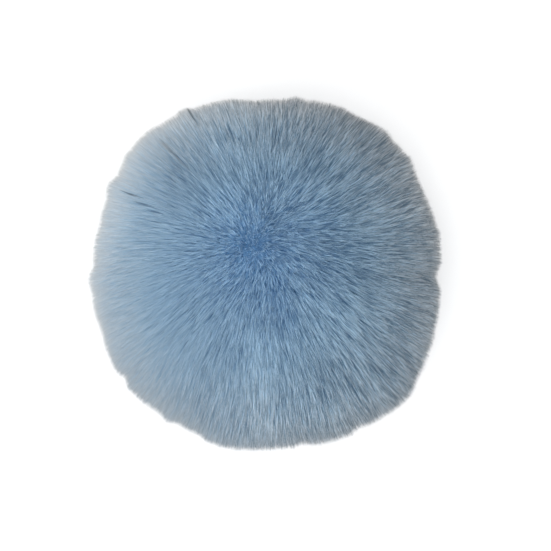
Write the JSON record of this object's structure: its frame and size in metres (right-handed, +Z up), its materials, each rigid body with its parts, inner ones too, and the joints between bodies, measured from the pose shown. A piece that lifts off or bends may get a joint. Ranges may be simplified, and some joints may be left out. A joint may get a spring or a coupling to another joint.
{
  "type": "fur pom pom",
  "caption": "Round, full ball of long soft fur, gathered at its back, for trimming a hat, bag, key ring or shoe.",
  "frame": {"origin": "on the surface it rests on, under the middle of its box", "axes": "+Z up, out of the face that shows; +X to the right and +Y towards the top of the face, seen from above"},
  "size_m": [0.1292, 0.1306, 0.1081],
  "materials": {
    "fur": "long soft pile, light steel blue, a little deeper at the roots and paler and greyer towards the rim"
  },
  "bodies": {
    "root": {"fur_ball": "fur"}
  },
  "joints": []
}
